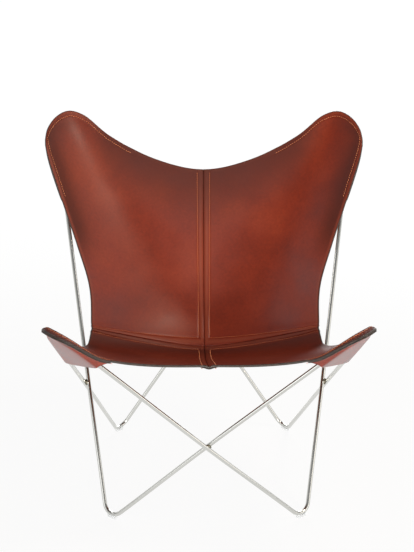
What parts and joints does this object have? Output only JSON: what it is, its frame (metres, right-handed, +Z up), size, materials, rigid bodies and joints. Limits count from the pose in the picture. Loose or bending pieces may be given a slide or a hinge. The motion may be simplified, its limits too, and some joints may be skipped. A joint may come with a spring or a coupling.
{
  "type": "sling lounge chair",
  "caption": "Low lounge chair: a stitched brown leather sling hung by corner pockets on the tips of a crossed frame of bent round steel rod, standing on small clear glides.",
  "frame": {"origin": "middle of the chair's plan, on the floor", "axes": "+Z up, the sitter faces -Y, +X to the right in the picture"},
  "size_m": [0.8022, 0.7376, 0.8681],
  "materials": {
    "steel": "polished stainless rod",
    "weld": "dull weld bead",
    "glide": "clear, slightly cloudy",
    "leather": "semi-matt waxed cognac saddle leather with dark dyed edges",
    "lining": "matt flesh side of the same leather",
    "thread": "waxed orange-brown thread"
  },
  "bodies": {
    "root": {"leg_front_left": "steel", "leg_front_right": "steel", "leg_rear_left": "steel", "leg_rear_right": "steel", "weld_front_crossing": "weld", "weld_back_crossing": "weld", "weld_left_crossing": "weld", "weld_right_crossing": "weld", "weld_top_tip_left": "weld", "weld_seat_tip_left": "weld", "weld_top_tip_right": "weld", "weld_seat_tip_right": "weld", "glide_front_left": "glide", "glide_front_right": "glide", "glide_rear_left": "glide", "glide_rear_right": "glide", "back_panel_left": "leather", "seat_panel_left": "leather", "back_panel_right": "leather", "seat_panel_right": "leather", "top_pocket_left": "lining", "seat_pocket_left": "lining", "top_pocket_right": "lining", "seat_pocket_right": "lining", "centre_strip_back": "lining", "centre_strip_seat": "lining", "cross_strip_left": "lining", "cross_strip_right": "lining", "thread_back_seam_left": "thread", "thread_back_seam_right": "thread", "thread_seat_seam_left": "thread", "thread_seat_seam_right": "thread", "thread_cross_upper_left": "thread", "thread_cross_upper_right": "thread", "thread_cross_lower_left": "thread", "thread_cross_lower_right": "thread", "thread_top_pocket_left": "thread", "thread_top_pocket_right": "thread", "thread_seat_pocket_left": "thread", "thread_seat_pocket_right": "thread"}
  },
  "joints": []
}
